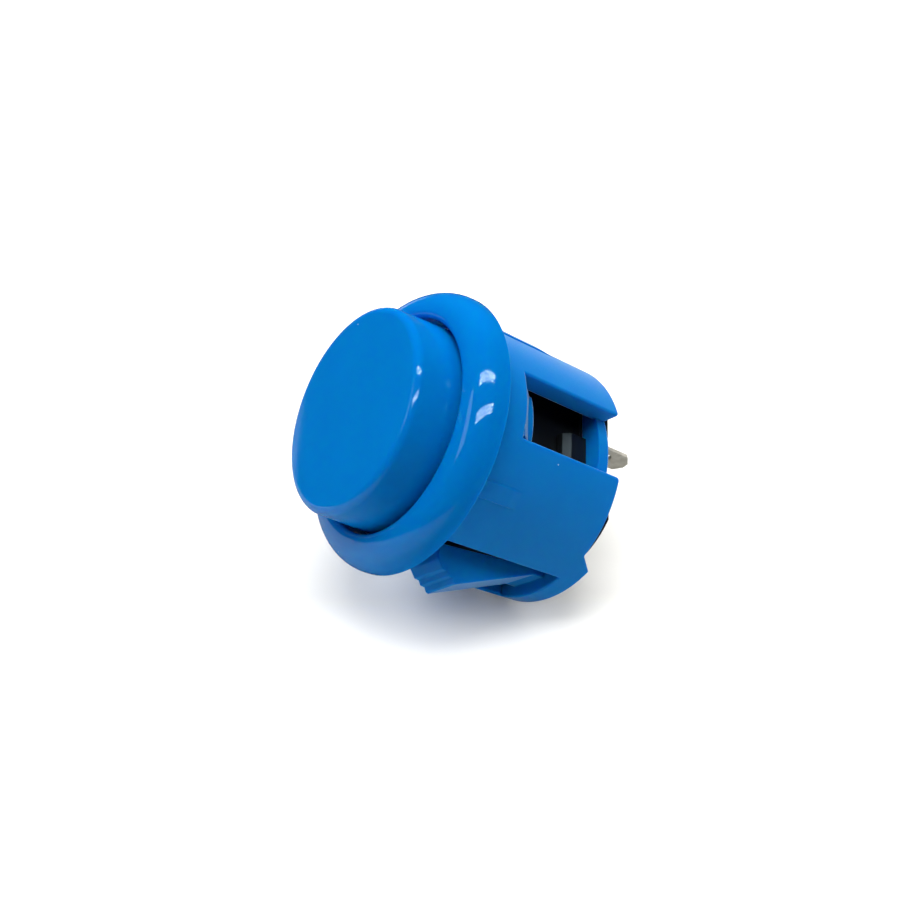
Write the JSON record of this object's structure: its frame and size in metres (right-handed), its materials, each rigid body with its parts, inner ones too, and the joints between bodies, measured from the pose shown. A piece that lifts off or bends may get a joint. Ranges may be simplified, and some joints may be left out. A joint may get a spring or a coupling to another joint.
{
  "type": "arcade push button",
  "caption": "Round snap-in push button for a game cabinet panel, with a domed rim, a springy cap, a barrel with snap arms and windows, and a small switch with blade terminals behind.",
  "frame": {"origin": "on the button's axis, in the plane of the rim's underside, where the panel's front face sits", "axes": "+Z along the button's axis out of the panel, towards the cap; +X towards a snap arm; +Y towards a side window"},
  "size_m": [0.0344, 0.0334, 0.0367],
  "materials": {
    "housing_plastic": "moulded, glossy rim and satin barrel",
    "plunger_plastic": "moulded, glossy",
    "switch_plastic": "moulded, satin black",
    "actuator_plastic": "moulded, natural",
    "contact_strip": "rolled strip",
    "contact_button": "silver, pressed",
    "terminal_metal": "stamped, tinned",
    "spring_steel": "drawn wire"
  },
  "bodies": {
    "housing": {"housing": "housing_plastic", "switch_base": "switch_plastic", "switch_cover": "switch_plastic", "common_terminal": "terminal_metal", "open_terminal": "terminal_metal", "fixed_contact": "contact_button", "return_spring": "spring_steel"},
    "plunger": {"plunger": "plunger_plastic"},
    "actuator": {"switch_actuator": "actuator_plastic"},
    "contact_arm": {"moving_blade": "contact_strip", "moving_contact": "contact_button"}
  },
  "joints": [
    {"name": "plunger_press", "type": "slide", "parent": "housing", "child": "plunger", "axis": [0, 0, -1], "range_m": [0, 0.002], "stiffness_N_per_m": 300, "springref_m": -0.002, "deforming": ["return_spring"]},
    {"name": "actuator_press", "type": "slide", "parent": "housing", "child": "actuator", "axis": [0, 0, -1], "range_m": [0, 0.002]},
    {"name": "contact_swing", "type": "hinge", "parent": "housing", "child": "contact_arm", "pos_m": [0, 0.0069, -0.01241], "axis": [1, 0, 0], "range_deg": [0, 16.62]}
  ],
  "couplings": [
    {"joint": "actuator_press", "follows": "plunger_press", "ratio": 1},
    {"joint": "contact_swing", "follows": "plunger_press", "rad_per_m": 144.93}
  ]
}
